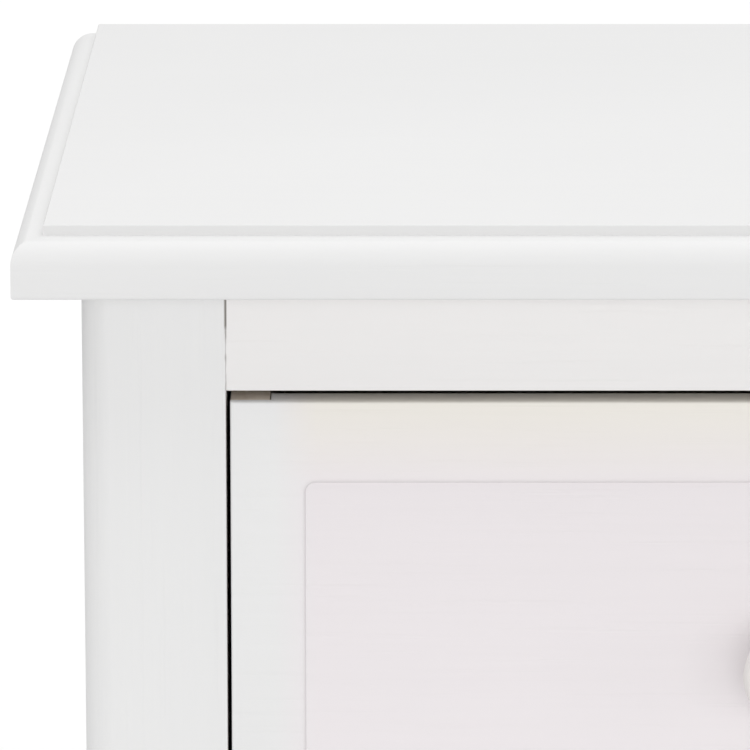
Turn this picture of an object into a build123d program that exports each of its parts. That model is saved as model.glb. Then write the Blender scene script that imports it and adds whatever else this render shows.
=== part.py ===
"""Apothecary cabinet: a six-drawer painted wooden chest on four post legs.

Millimetres, +Z up, front towards -Y. The origin is at floor level, in the
middle of the cabinet's overall width and depth, knobs included.
"""

from build123d import *
import os

# ---- drawer grid ----
COLUMN_NAMES = ("left", "right")
ROW_NAMES = ("lower", "middle", "upper")
opening_width = 316.0
opening_height = 151.0

# ---- face frame and posts ----
post_width = 40.0
post_depth = 40.0
post_corner_radius = 8.0
rear_corner_radius = 2.0
top_rail_height = 29.5
drawer_rail_height = 20.0
bottom_rail_height = 40.0
muntin_width = 20.0
carcass_depth = 323.0

# ---- legs and feet ----
leg_clearance = 110.0
foot_width = 28.0
taper_drop = 18.0
glide_radius = 10.0
glide_height = 3.0
glide_chamfer = 0.8

# ---- top board ----
top_overhang = 18.0
edge_band_height = 9.5
edge_round_radius = 6.8
ledge_width = 1.75
field_step = 3.0
underside_easing = 0.9
field_easing = 0.4

# ---- carcass joinery ----
tenon_length = 12.0
tenon_shoulder = 4.0
mortise_clearance = 0.1
mortise_end_gap = 0.5
rear_rail_height = 40.0
rear_rail_thickness = 18.0
panel_thickness = 12.0
panel_inset = 4.0
panel_tongue = 8.0
back_thickness = 5.0
back_rebate = 10.0
panel_clearance = 0.3

# ---- runners ----
bearer_reach = 14.0
guide_height = 30.0
stop_reach = 10.0
stop_length = 12.0
running_clearance = 0.3

# ---- screws that hold the top ----
top_screw_radius = 2.0
top_screw_head_radius = 4.0
top_screw_head_height = 2.2
top_screw_bite = 10.0
top_screw_setback = 40.0
screw_clearance = 0.25
pilot_clearance = 0.05

# ---- drawers ----
side_gap = 1.2
head_gap = 3.2
foot_gap = 1.6
front_thickness = 11.0
front_lap = 3.0
front_easing = 0.6
board_thickness = 11.0
joint_gap = 0.3
bottom_thickness = 5.0
bottom_rise = 8.0
groove_depth = 6.0
groove_clearance = 0.2
back_housing = 4.0
back_inset = 8.0
back_drop = 6.0

# ---- recessed panel in each drawer front ----
stile_width = 20.0
rail_width = 22.0
recess_depth = 1.8
recess_slope = 35.0
recess_corner_radius = 3.0

# ---- knobs and their screws ----
knob_radius = 15.0
knob_height = 30.0
knob_rim_height = 22.0
knob_cap_radius = 11.8
knob_cap_height = 17.5
knob_foot_radius = 8.5
knob_neck_radius = 6.5
knob_neck_height = 8.0
knob_screw_radius = 2.0
knob_screw_bite = 14.0
knob_hole_spare = 2.0
knob_screw_head_radius = 4.5
knob_screw_head_height = 2.5

# ---- values that follow from the ones above ----
columns = len(COLUMN_NAMES)
rows = len(ROW_NAMES)
openings_width = columns * opening_width + (columns - 1) * muntin_width
half_width = openings_width / 2 + post_width
half_opening = openings_width / 2
top_edge_height = edge_band_height + edge_round_radius
top_thickness = top_edge_height + field_step
moulding_width = edge_round_radius + ledge_width

knob_reach = knob_height - recess_depth
overall_depth = carcass_depth + max(knob_reach, top_overhang)
back_y = overall_depth / 2
face_y = back_y - carcass_depth
frame_back_y = face_y + post_depth
rear_post_y = back_y - post_depth
rear_rail_y = back_y - back_thickness - rear_rail_thickness

row_pitch = opening_height + drawer_rail_height
openings_base = leg_clearance + bottom_rail_height
openings_top = openings_base + rows * opening_height + (rows - 1) * drawer_rail_height
underside = openings_top + top_rail_height

panel_inner = half_width - panel_inset - panel_thickness
bearer_proud = foot_gap - running_clearance
bearer_height = drawer_rail_height + bearer_proud
runner_length = rear_post_y - frame_back_y

front_width = opening_width - 2 * side_gap
front_height = opening_height - head_gap - foot_gap
drawer_depth = carcass_depth - post_depth - stop_length
half_inside = front_width / 2 - board_thickness
bottom_slot = bottom_thickness + 2 * groove_clearance
back_base = bottom_rise + bottom_slot

ON_FLOOR = (Align.CENTER, Align.MIN)
UPRIGHT = (Align.CENTER, Align.CENTER, Align.MIN)


def block(x_span, y_span, z_span, mode=Mode.ADD):
    """A square block inside the active part, given by its three spans."""
    middles = tuple(sum(span) / 2 for span in (x_span, y_span, z_span))
    sizes = [abs(span[1] - span[0]) for span in (x_span, y_span, z_span)]
    with Locations(middles):
        Box(*sizes, mode=mode)


def save(part, name):
    part.label = name
    export_step(part, f"parts/{name}.step")


def column_centre(column):
    first = (opening_width - openings_width) / 2
    return first + column * (opening_width + muntin_width)


def opening_base(row):
    return openings_base + row * row_pitch


# The lower face and the height of each rail across the front.
BOTTOM_RAIL = (leg_clearance, bottom_rail_height)
DRAWER_RAILS = [
    (opening_base(row) + opening_height, drawer_rail_height) for row in range(rows - 1)
]
TOP_RAIL = (openings_top, top_rail_height)
REAR_RAIL_BASES = (leg_clearance, underside - rear_rail_height)


# ---- top ----

def top_screw_places():
    """Where the screws pass up through the four kicker strips."""
    outer = (panel_inner + half_opening - bearer_reach) / 2
    inner = (muntin_width + bearer_reach) / 2
    ends = (frame_back_y + top_screw_setback, rear_post_y - top_screw_setback)
    return [(x, y) for x in (-outer, -inner, inner, outer) for y in ends]


def make_top_board():
    half_top = half_width + top_overhang
    front = face_y - top_overhang
    with BuildPart() as top:
        block((-half_top, half_top), (front, back_y), (underside, underside + top_edge_height))
        rim = top.edges().group_by(Axis.Z)[-1]
        fillet(rim.sort_by(Axis.Y)[:-1], edge_round_radius)
        arris = top.edges().group_by(Axis.Z)[0]
        fillet(arris.sort_by(Axis.Y)[:-1], underside_easing)
        block(
            (moulding_width - half_top, half_top - moulding_width),
            (front + moulding_width, back_y),
            (underside + top_edge_height, underside + top_thickness),
        )
        crown = top.edges().group_by(Axis.Z)[-1]
        fillet(crown.sort_by(Axis.Y)[:-1], field_easing)
        with Locations(*[(x, y, underside) for x, y in top_screw_places()]):
            Cylinder(
                top_screw_radius + pilot_clearance,
                top_screw_bite + mortise_end_gap,
                align=UPRIGHT,
                mode=Mode.SUBTRACT,
            )
    return top.part


def make_top_screws():
    head_base = openings_top
    length = top_rail_height + top_screw_bite
    with BuildPart() as screws:
        with Locations(*[(x, y, head_base) for x, y in top_screw_places()]):
            Cylinder(top_screw_radius, length, align=UPRIGHT)
            Cone(top_screw_head_radius, top_screw_radius, top_screw_head_height, align=UPRIGHT)
    return screws.part


# ---- posts, rails and panels ----

def cut_mortise(inner, reach, y_middle, y_size, base, height):
    """A blind slot from the post's inner face outwards, for one stub tenon."""
    y_half = y_size / 2 - tenon_shoulder + mortise_clearance
    z_trim = tenon_shoulder - mortise_clearance
    block(
        (inner, inner + reach),
        (y_middle - y_half, y_middle + y_half),
        (base + z_trim, base + height - z_trim),
        mode=Mode.SUBTRACT,
    )


def make_post(side, is_front):
    outer = side * half_width
    inner = side * (half_width - post_width)
    foot = side * (half_width - foot_width)
    near, far = (face_y, frame_back_y) if is_front else (back_y, rear_post_y)
    inward = 1 if is_front else -1
    foot_far = near + inward * foot_width
    reach = side * (tenon_length + mortise_end_gap)
    with BuildPart() as post:
        block((inner, outer), (near, far), (glide_height, underside))
        corner = post.edges().filter_by(Axis.Z).sort_by_distance((outer, near, underside))[0]
        fillet(corner, post_corner_radius if is_front else rear_corner_radius)
        taper_top = leg_clearance - taper_drop
        with BuildSketch(Plane.XZ):
            with BuildLine():
                Polyline((inner, taper_top), (inner, glide_height), (foot, glide_height), close=True)
            make_face()
        extrude(amount=overall_depth, both=True, mode=Mode.SUBTRACT)
        with BuildSketch(Plane.YZ):
            with BuildLine():
                Polyline((far, taper_top), (far, glide_height), (foot_far, glide_height), close=True)
            make_face()
        extrude(amount=2 * half_width, both=True, mode=Mode.SUBTRACT)
        # The groove for the side panel, stopped above the leg.
        groove_outer = side * (half_width - panel_inset + mortise_clearance)
        groove_inner = side * (panel_inner - mortise_clearance)
        block(
            (groove_inner, groove_outer),
            (far, far - inward * panel_tongue),
            (leg_clearance, underside),
            mode=Mode.SUBTRACT,
        )
        if is_front:
            for base, height in (BOTTOM_RAIL, *DRAWER_RAILS, TOP_RAIL):
                middle = (face_y + frame_back_y) / 2
                cut_mortise(inner, reach, middle, post_depth, base, height)
        else:
            for base in REAR_RAIL_BASES:
                middle = rear_rail_y + rear_rail_thickness / 2
                cut_mortise(inner, reach, middle, rear_rail_thickness, base, rear_rail_height)
            block(
                (inner, inner + side * back_rebate),
                (back_y - back_thickness, back_y),
                (leg_clearance, underside),
                mode=Mode.SUBTRACT,
            )
    return post.part


def add_rail(near, depth, base, height):
    """A rail between two posts with a stub tenon at each end."""
    half_tenon = half_opening + tenon_length
    block((-half_opening, half_opening), (near, near + depth), (base, base + height))
    block(
        (-half_tenon, half_tenon),
        (near + tenon_shoulder, near + depth - tenon_shoulder),
        (base + tenon_shoulder, base + height - tenon_shoulder),
    )


def make_front_rails(rails):
    with BuildPart() as front:
        for base, height in rails:
            add_rail(face_y, post_depth, base, height)
    return front.part


def make_rear_rails():
    with BuildPart() as rails:
        for base in REAR_RAIL_BASES:
            add_rail(rear_rail_y, rear_rail_thickness, base, rear_rail_height)
    return rails.part


def make_side_panel(side):
    tongue = panel_tongue - panel_clearance
    with BuildPart() as panel:
        block(
            (side * panel_inner, side * (half_width - panel_inset)),
            (frame_back_y - tongue, rear_post_y + tongue),
            (leg_clearance, underside),
        )
    return panel.part


def make_back_panel():
    half_back = half_opening + back_rebate - panel_clearance
    with BuildPart() as panel:
        block((-half_back, half_back), (back_y - back_thickness, back_y), (leg_clearance, underside))
    return panel.part


def muntin_centres():
    return [column_centre(column) + (opening_width + muntin_width) / 2 for column in range(columns - 1)]


def make_muntins():
    with BuildPart() as muntins:
        for middle in muntin_centres():
            span = (middle - muntin_width / 2, middle + muntin_width / 2)
            for row in range(rows):
                base = opening_base(row)
                block(span, (face_y, frame_back_y), (base, base + opening_height))
    return muntins.part


def make_divider():
    with BuildPart() as divider:
        for middle in muntin_centres():
            span = (middle - muntin_width / 2, middle + muntin_width / 2)
            block(span, (frame_back_y, rear_rail_y), (leg_clearance, underside))
    return divider.part


# ---- what the drawers run on ----

def bearer_spans():
    """The four x spans that bearers and kickers fill, outer ones to the side panels."""
    outer = (half_opening - bearer_reach, panel_inner)
    inner = (muntin_width / 2, muntin_width / 2 + bearer_reach)
    return [(-outer[1], -outer[0]), (-inner[1], -inner[0]), inner, outer]


def make_runners():
    y_span = (frame_back_y, rear_post_y)
    with BuildPart() as runners:
        for span in bearer_spans():
            for row in range(rows):
                top = opening_base(row) + bearer_proud
                block(span, y_span, (top - bearer_height, top))
            block(span, y_span, (openings_top, underside))
        with Locations(*[(x, y, openings_top) for x, y in top_screw_places()]):
            Cylinder(
                top_screw_radius + screw_clearance,
                top_rail_height,
                align=UPRIGHT,
                mode=Mode.SUBTRACT,
            )
            Cone(
                top_screw_head_radius + screw_clearance,
                top_screw_radius + screw_clearance,
                top_screw_head_height,
                align=UPRIGHT,
                mode=Mode.SUBTRACT,
            )
    return runners.part


def make_guides():
    """A guide strip beside each outer bearer, with a stop lug at its rear end."""
    stop_near = rear_post_y - stop_length + running_clearance
    with BuildPart() as guides:
        for side in (-1, 1):
            for row in range(rows):
                base = opening_base(row) + bearer_proud
                z_span = (base, base + guide_height)
                block((side * half_opening, side * panel_inner), (frame_back_y, rear_post_y), z_span)
                block(
                    (side * (half_opening - stop_reach), side * half_opening),
                    (stop_near, rear_post_y),
                    z_span,
                )
    return guides.part


def make_glides():
    x = half_width - foot_width / 2
    front = face_y + foot_width / 2
    rear = back_y - foot_width / 2
    with BuildPart() as glides:
        with Locations(*[(side * x, y, 0) for side in (-1, 1) for y in (front, rear)]):
            Cylinder(glide_radius, glide_height, align=UPRIGHT)
        chamfer(glides.edges().group_by(Axis.Z)[0], glide_chamfer)
    return glides.part


# ---- drawers ----
# A drawer is drawn on its seat: the plane of its front face, with the local
# origin at the middle of the front's lower edge, X across, Y up and Z outwards.

def drawer_seat(column, row):
    place = (column_centre(column), face_y, opening_base(row) + foot_gap)
    return Plane(origin=place, x_dir=(1, 0, 0), z_dir=(0, -1, 0))


def make_drawer_front(seat):
    rebate = board_thickness + joint_gap
    with BuildPart() as front:
        with BuildSketch(seat):
            Rectangle(front_width, front_height, align=ON_FLOOR)
        extrude(amount=-front_thickness)
        fillet(front.faces().sort_by(Axis.Y)[0].edges(), front_easing)
        with BuildSketch(seat):
            with Locations((0, front_height / 2)):
                RectangleRounded(
                    front_width - 2 * stile_width,
                    front_height - 2 * rail_width,
                    recess_corner_radius,
                )
        extrude(amount=-recess_depth, taper=recess_slope, mode=Mode.SUBTRACT)
        # Rebates that take the drawer sides, behind a thin lap.
        with BuildSketch(seat.offset(-front_lap)):
            with Locations(*[(side * (front_width - rebate) / 2, 0) for side in (-1, 1)]):
                Rectangle(rebate, front_height, align=ON_FLOOR)
        extrude(amount=front_lap - front_thickness, mode=Mode.SUBTRACT)
        # The groove for the drawer bottom.
        with BuildSketch(seat.offset(groove_depth - front_thickness)):
            with Locations((0, bottom_rise)):
                Rectangle(front_width, bottom_slot, align=ON_FLOOR)
        extrude(amount=-groove_depth, mode=Mode.SUBTRACT)
        with BuildSketch(seat):
            with Locations((0, front_height / 2)):
                Circle(knob_screw_radius + screw_clearance)
        extrude(amount=-front_thickness, mode=Mode.SUBTRACT)
    return front.part


def make_drawer_side(seat, side):
    middle = side * (front_width - board_thickness) / 2
    inside = side * half_inside
    with BuildPart() as board:
        with BuildSketch(seat.offset(-front_lap)):
            with Locations((middle, 0)):
                Rectangle(board_thickness, front_height, align=ON_FLOOR)
        extrude(amount=front_lap - drawer_depth)
        with BuildSketch(seat.offset(-front_lap)):
            with Locations((inside + side * groove_depth / 2, bottom_rise)):
                Rectangle(groove_depth, bottom_slot, align=ON_FLOOR)
        extrude(amount=front_lap - drawer_depth, mode=Mode.SUBTRACT)
        # The housing for the drawer back.
        with BuildSketch(seat.offset(back_inset - drawer_depth)):
            with Locations((inside + side * back_housing / 2, back_base)):
                Rectangle(back_housing, front_height, align=ON_FLOOR)
        extrude(amount=board_thickness + 2 * mortise_clearance, mode=Mode.SUBTRACT)
    return board.part


def make_drawer_back(seat):
    width = 2 * (half_inside + back_housing - mortise_clearance)
    with BuildPart() as board:
        with BuildSketch(seat.offset(back_inset + mortise_clearance - drawer_depth)):
            with Locations((0, back_base)):
                Rectangle(width, front_height - back_drop - back_base, align=ON_FLOOR)
        extrude(amount=board_thickness)
    return board.part


def make_drawer_bottom(seat):
    tongue = groove_depth - panel_clearance
    near = front_thickness - tongue
    with BuildPart() as board:
        with BuildSketch(seat.offset(-near)):
            with Locations((0, bottom_rise + groove_clearance)):
                Rectangle(2 * (half_inside + tongue), bottom_thickness, align=ON_FLOOR)
        extrude(amount=near - drawer_depth)
    return board.part


def make_knob(seat):
    base = seat.from_local_coords((0, front_height / 2, -recess_depth))
    turning = Plane(origin=base, x_dir=(1, 0, 0), z_dir=(0, 0, -1))
    with BuildPart() as knob:
        with BuildSketch(turning):
            with BuildLine():
                Spline(
                    (knob_foot_radius, 0),
                    (knob_neck_radius, knob_neck_height),
                    (knob_cap_radius, knob_cap_height),
                    (knob_radius, knob_rim_height),
                    tangents=((knob_neck_radius - knob_foot_radius, knob_neck_height), (0, 1)),
                )
                Spline((knob_radius, knob_rim_height), (0, knob_height), tangents=((0, 1), (-1, 0)))
                Polyline((0, knob_height), (0, 0), (knob_foot_radius, 0))
            make_face()
        revolve(axis=Axis(base, seat.z_dir))
        with BuildSketch(seat.offset(-recess_depth)):
            with Locations((0, front_height / 2)):
                Circle(knob_screw_radius + pilot_clearance)
        extrude(amount=knob_screw_bite + knob_hole_spare, mode=Mode.SUBTRACT)
    return knob.part


def make_knob_screw(seat):
    length = front_thickness - recess_depth + knob_screw_bite
    with BuildPart() as screw:
        with BuildSketch(seat.offset(-front_thickness)):
            with Locations((0, front_height / 2)):
                Circle(knob_screw_radius)
        extrude(amount=length)
        with BuildSketch(seat.offset(-front_thickness)):
            with Locations((0, front_height / 2)):
                Circle(knob_screw_head_radius)
        extrude(amount=-knob_screw_head_height)
        rim = screw.edges().group_by(Axis.Y)[-1]
        fillet(rim, knob_screw_head_height / 2)
    return screw.part


os.makedirs("parts", exist_ok=True)

save(make_top_board(), "top_board")
save(make_top_screws(), "top_screws")
save(make_post(-1, True), "front_left_post")
save(make_post(1, True), "front_right_post")
save(make_post(-1, False), "rear_left_post")
save(make_post(1, False), "rear_right_post")
save(make_front_rails([BOTTOM_RAIL]), "bottom_front_rail")
save(make_front_rails(DRAWER_RAILS), "drawer_rails")
save(make_front_rails([TOP_RAIL]), "top_front_rail")
save(make_rear_rails(), "rear_rails")
save(make_side_panel(-1), "left_side_panel")
save(make_side_panel(1), "right_side_panel")
save(make_back_panel(), "back_panel")
save(make_muntins(), "centre_muntins")
save(make_divider(), "centre_divider")
save(make_runners(), "drawer_runners")
save(make_guides(), "drawer_guides")
save(make_glides(), "foot_glides")

for row, row_name in enumerate(ROW_NAMES):
    for column, column_name in enumerate(COLUMN_NAMES):
        drawer = f"{row_name}_{column_name}_drawer"
        seat = drawer_seat(column, row)
        save(make_drawer_front(seat), f"{drawer}_front")
        save(make_drawer_side(seat, -1), f"{drawer}_left_side")
        save(make_drawer_side(seat, 1), f"{drawer}_right_side")
        save(make_drawer_back(seat), f"{drawer}_back")
        save(make_drawer_bottom(seat), f"{drawer}_bottom")
        save(make_knob(seat), f"{drawer}_knob")
        save(make_knob_screw(seat), f"{drawer}_knob_screw")

print("overall width", 2 * (half_width + top_overhang))
print("overall depth", overall_depth)
print("overall height", underside + top_thickness)
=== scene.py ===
import math
import bmesh
import bpy
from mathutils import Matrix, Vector
from mathutils.geometry import interpolate_bezier


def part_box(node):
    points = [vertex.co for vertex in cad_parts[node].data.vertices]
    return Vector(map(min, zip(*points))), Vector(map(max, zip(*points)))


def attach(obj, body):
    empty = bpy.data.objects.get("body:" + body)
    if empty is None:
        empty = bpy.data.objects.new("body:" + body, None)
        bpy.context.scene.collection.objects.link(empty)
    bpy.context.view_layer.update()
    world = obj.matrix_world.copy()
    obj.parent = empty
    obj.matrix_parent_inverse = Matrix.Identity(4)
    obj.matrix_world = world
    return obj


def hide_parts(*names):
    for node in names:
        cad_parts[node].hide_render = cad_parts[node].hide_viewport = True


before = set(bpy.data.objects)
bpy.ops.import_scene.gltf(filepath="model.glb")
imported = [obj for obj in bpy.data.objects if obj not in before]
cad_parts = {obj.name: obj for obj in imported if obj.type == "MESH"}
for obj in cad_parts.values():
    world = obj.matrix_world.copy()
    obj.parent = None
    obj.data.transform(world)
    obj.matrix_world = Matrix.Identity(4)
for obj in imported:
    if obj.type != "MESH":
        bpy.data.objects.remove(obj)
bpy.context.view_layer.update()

mm = 0.001
columnNames = ["left", "right"]
rowNames = ["lower", "middle", "upper"]


def selectOnly(obj):
    bpy.ops.object.select_all(action="DESELECT")
    obj.select_set(True)
    bpy.context.view_layer.objects.active = obj


def openMesh(obj):
    selectOnly(obj)
    bpy.ops.object.mode_set(mode="EDIT")


def closeMesh():
    bpy.ops.object.mode_set(mode="OBJECT")


def pick(obj, kind, wanted):
    # selects what the test wants in the open mesh
    bpy.ops.mesh.select_mode(type=kind)
    bpy.ops.mesh.select_all(action="DESELECT")
    mesh = bmesh.from_edit_mesh(obj.data)
    parts = {"VERT": mesh.verts, "EDGE": mesh.edges, "FACE": mesh.faces}[kind]
    for part in parts:
        if wanted(part):
            part.select_set(True)
    mesh.select_flush_mode()
    bmesh.update_edit_mesh(obj.data)


def near(a, b, slack=0.00002):
    return abs(a - b) < slack


def edgeAt(edge, axis, value):
    return all(near(v.co[axis], value) for v in edge.verts)


def runsAlong(edge, axis):
    along = (edge.verts[1].co - edge.verts[0].co).normalized()
    return abs(along[axis]) > 0.999


def addBlock(name, low, high):
    # a cube at its real size and place, with its origin left at the world's
    bpy.ops.object.select_all(action="DESELECT")
    bpy.ops.mesh.primitive_cube_add(size=1, location=(Vector(low) + Vector(high)) / 2)
    block = bpy.context.object
    block.name = name
    block.data.name = name
    block.scale = Vector(high) - Vector(low)
    bpy.ops.object.transform_apply(location=True, rotation=True, scale=True)
    return block


def addDisc(name, sides, radius, depth, middle, turn=(0, 0, 0)):
    # a disc about its own axis, which is upright unless it is turned
    bpy.ops.object.select_all(action="DESELECT")
    bpy.ops.mesh.primitive_cylinder_add(vertices=sides, radius=radius, depth=depth, location=middle,
                                        rotation=turn)
    disc = bpy.context.object
    disc.name = name
    disc.data.name = name
    bpy.ops.object.transform_apply(location=True, rotation=True, scale=True)
    return disc


def easeEdges(obj, width, segments=3, angle=35):
    selectOnly(obj)
    ease = obj.modifiers.new("ease", "BEVEL")
    ease.width = width
    ease.segments = segments
    ease.limit_method = "ANGLE"
    ease.angle_limit = math.radians(angle)
    bpy.ops.object.modifier_apply(modifier=ease.name)


def smooth(obj, angle=40):
    selectOnly(obj)
    bpy.ops.object.shade_smooth_by_angle(angle=math.radians(angle))


def carve(obj, low, high):
    # cuts a square pocket out of a piece
    cutter = addBlock("cutter", low, high)
    selectOnly(obj)
    pocket = obj.modifiers.new("pocket", "BOOLEAN")
    pocket.operation = "DIFFERENCE"
    pocket.solver = "EXACT"
    pocket.object = cutter
    bpy.ops.object.modifier_apply(modifier=pocket.name)
    bpy.data.objects.remove(cutter, do_unlink=True)


def copyTo(source, name, offset):
    # a copy with its own mesh, moved within that mesh
    twin = source.copy()
    twin.data = source.data.copy()
    twin.name = name
    twin.data.name = name
    bpy.context.scene.collection.objects.link(twin)
    twin.location = offset
    selectOnly(twin)
    bpy.ops.object.transform_apply(location=True, rotation=False, scale=False)
    return twin


def traced(node, name):
    # a copy of a frame node with its loose triangles merged back into boards
    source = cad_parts[node]
    board = bpy.data.objects.new(name, source.data.copy())
    board.data.name = name
    bpy.context.scene.collection.objects.link(board)
    openMesh(board)
    bpy.ops.mesh.select_all(action="SELECT")
    bpy.ops.mesh.remove_doubles(threshold=0.00001)
    bpy.ops.mesh.dissolve_limited(angle_limit=math.radians(0.5))
    closeMesh()
    return board


def fit(piece, body, slot, material, *nodes):
    piece.data.materials.clear()
    piece.data.materials.append(material)
    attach(piece, body)
    if nodes:
        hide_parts(*nodes)
    return piece


def newGroup(name, inputs, outputs):
    group = bpy.data.node_groups.new(name, "ShaderNodeTree")
    for label, kind, value in inputs:
        socket = group.interface.new_socket(name=label, in_out="INPUT", socket_type=kind)
        if value is not None:
            socket.default_value = value
    for label, kind in outputs:
        group.interface.new_socket(name=label, in_out="OUTPUT", socket_type=kind)
    enter = group.nodes.new("NodeGroupInput")
    leave = group.nodes.new("NodeGroupOutput")
    return group, enter, leave


def addNode(tree, kind, settings=None, values=None):
    node = tree.nodes.new(kind)
    for key, value in (settings or {}).items():
        setattr(node, key, value)
    for key, value in (values or {}).items():
        node.inputs[key].default_value = value
    return node


def stretched(tree, vector, scale):
    node = addNode(tree, "ShaderNodeVectorMath", {"operation": "MULTIPLY"})
    node.inputs[1].default_value = scale
    tree.links.new(vector, node.inputs[0])
    return node.outputs[0]


def noise(tree, vector, scale, detail=3.0, rough=0.55):
    node = addNode(tree, "ShaderNodeTexNoise", None, {"Scale": scale, "Detail": detail, "Roughness": rough})
    tree.links.new(vector, node.inputs["Vector"])
    return node.outputs["Fac"]


def remap(tree, value, low, high, newLow, newHigh):
    node = addNode(tree, "ShaderNodeMapRange", None, {1: low, 2: high, 3: newLow, 4: newHigh})
    tree.links.new(value, node.inputs[0])
    return node.outputs[0]


def calc(tree, operation, a, b=0.0):
    node = addNode(tree, "ShaderNodeMath", {"operation": operation})
    for place, value in ((0, a), (1, b)):
        if isinstance(value, (int, float)):
            node.inputs[place].default_value = value
        else:
            tree.links.new(value, node.inputs[place])
    return node.outputs[0]


def tinted(tree, factor, a, b, mode="MIX"):
    node = addNode(tree, "ShaderNodeMix", {"data_type": "RGBA", "blend_type": mode})
    for place, value in ((0, factor), (6, a), (7, b)):
        if isinstance(value, (int, float, tuple)):
            node.inputs[place].default_value = value
        else:
            tree.links.new(value, node.inputs[place])
    return node.outputs[2]


brushSizes = {
    # how often each pattern repeats in a metre along the grain and across it
    "brushLines": (6, 260, 260),
    "woodGrain": (16, 640, 640),
    "clouds": 7.0,
    "brushShade": 0.024,
    "poreShade": 0.010,
    "poreDepth": 0.35,
    "roughness": 0.52,
    "roughChange": 0.12,
}


def makeBrushedPaint():
    # satin paint over wood: lengthways brush lines, a little grain showing through, faint clouding
    group, enter, leave = newGroup(
        "brushedPaint",
        [("Vector", "NodeSocketVector", None), ("Color", "NodeSocketColor", None),
         ("Brush", "NodeSocketFloat", 1.0), ("Grain", "NodeSocketFloat", 1.0)],
        [("Color", "NodeSocketColor"), ("Roughness", "NodeSocketFloat"), ("Height", "NodeSocketFloat")])
    size = brushSizes
    vector = enter.outputs["Vector"]
    brush = noise(group, stretched(group, vector, size["brushLines"]), 1.0, 3.0, 0.6)
    grain = noise(group, stretched(group, vector, size["woodGrain"]), 1.0, 2.0, 0.5)
    pores = remap(group, grain, 0.60, 0.74, 0.0, 1.0)
    cloud = noise(group, vector, size["clouds"], 2.0, 0.5)
    brushDepth = calc(group, "MULTIPLY", calc(group, "SUBTRACT", brush, 0.5), enter.outputs["Brush"])
    poreDepth = calc(group, "MULTIPLY", pores, enter.outputs["Grain"])
    shade = calc(group, "ADD", calc(group, "MULTIPLY", brushDepth, size["brushShade"]),
                 remap(group, cloud, 0.3, 0.7, 0.993, 1.005))
    shade = calc(group, "SUBTRACT", shade, calc(group, "MULTIPLY", poreDepth, size["poreShade"]))
    gray = addNode(group, "ShaderNodeCombineColor")
    for place in range(3):
        group.links.new(shade, gray.inputs[place])
    color = tinted(group, 1.0, enter.outputs["Color"], gray.outputs[0], "MULTIPLY")
    height = calc(group, "SUBTRACT", brushDepth, calc(group, "MULTIPLY", poreDepth, size["poreDepth"]))
    rough = calc(group, "ADD", calc(group, "MULTIPLY", brushDepth, size["roughChange"]), size["roughness"])
    group.links.new(color, leave.inputs["Color"])
    group.links.new(rough, leave.inputs["Roughness"])
    group.links.new(height, leave.inputs["Height"])
    return group


grainSizes = {
    # how much of the distance along the grain counts toward a ring
    "ringsAlong": 0.045,
    # each push of the rings: how often it changes in a metre, and how far it reaches
    "pushes": [((1.4, 5.5, 5.5), 110 * mm), ((7, 34, 34), 12 * mm)],
    "uneven": (1.1, 22, 22),
    "fibres": (9, 700, 700),
    "tone": (1.5, 14, 14),
}


def makeSawnWood():
    # planed pale wood: growth rings wandering about the grain line, fine fibres and a slow change of tone
    group, enter, leave = newGroup(
        "sawnWood",
        [("Vector", "NodeSocketVector", None), ("Light", "NodeSocketColor", None),
         ("Dark", "NodeSocketColor", None), ("Rings", "NodeSocketFloat", 60.0),
         ("Figure", "NodeSocketFloat", 0.4)],
        [("Color", "NodeSocketColor"), ("Roughness", "NodeSocketFloat"), ("Height", "NodeSocketFloat")])
    size = grainSizes
    vector = enter.outputs["Vector"]
    # the rings are pushed about twice, slowly over the board and then finely along each ring
    pushed = stretched(group, vector, (size["ringsAlong"], 1, 1))
    for spread, reach in size["pushes"]:
        drift = addNode(group, "ShaderNodeTexNoise", None, {"Scale": 1.0, "Detail": 2.0})
        group.links.new(stretched(group, vector, spread), drift.inputs["Vector"])
        step = addNode(group, "ShaderNodeVectorMath", {"operation": "MULTIPLY_ADD"})
        group.links.new(drift.outputs["Color"], step.inputs[0])
        step.inputs[1].default_value = (0.0, reach, reach)
        group.links.new(pushed, step.inputs[2])
        pushed = step.outputs[0]
    wave = addNode(group, "ShaderNodeTexWave",
                   {"wave_type": "RINGS", "rings_direction": "X", "wave_profile": "SAW"},
                   {"Distortion": 0.0, "Detail": 0.0})
    group.links.new(pushed, wave.inputs["Vector"])
    group.links.new(enter.outputs["Rings"], wave.inputs["Scale"])
    # each ring darkens slowly to its late wood, then falls back over a short width
    late = calc(group, "POWER", wave.outputs["Fac"], 2.6)
    fall = remap(group, wave.outputs["Fac"], 0.90, 1.0, 1.0, 0.0)
    uneven = noise(group, stretched(group, vector, size["uneven"]), 1.0, 2.0, 0.5)
    strength = remap(group, uneven, 0.3, 0.7, 0.35, 1.0)
    rings = calc(group, "MULTIPLY", calc(group, "MULTIPLY", late, fall), strength)
    fibre = noise(group, stretched(group, vector, size["fibres"]), 1.0, 3.0, 0.65)
    tone = noise(group, stretched(group, vector, size["tone"]), 1.0, 2.0, 0.5)
    mask = calc(group, "ADD", calc(group, "MULTIPLY", rings, enter.outputs["Figure"]),
                calc(group, "MULTIPLY", fibre, 0.34))
    mask = calc(group, "ADD", mask, calc(group, "MULTIPLY", tone, 0.36))
    color = tinted(group, remap(group, mask, 0.22, 1.05, 0.0, 1.0),
                   enter.outputs["Light"], enter.outputs["Dark"])
    rough = remap(group, fibre, 0.3, 0.7, 0.58, 0.72)
    height = calc(group, "ADD", calc(group, "MULTIPLY", rings, 0.3), calc(group, "MULTIPLY", fibre, 0.7))
    group.links.new(color, leave.inputs["Color"])
    group.links.new(rough, leave.inputs["Roughness"])
    group.links.new(height, leave.inputs["Height"])
    return group


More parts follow.
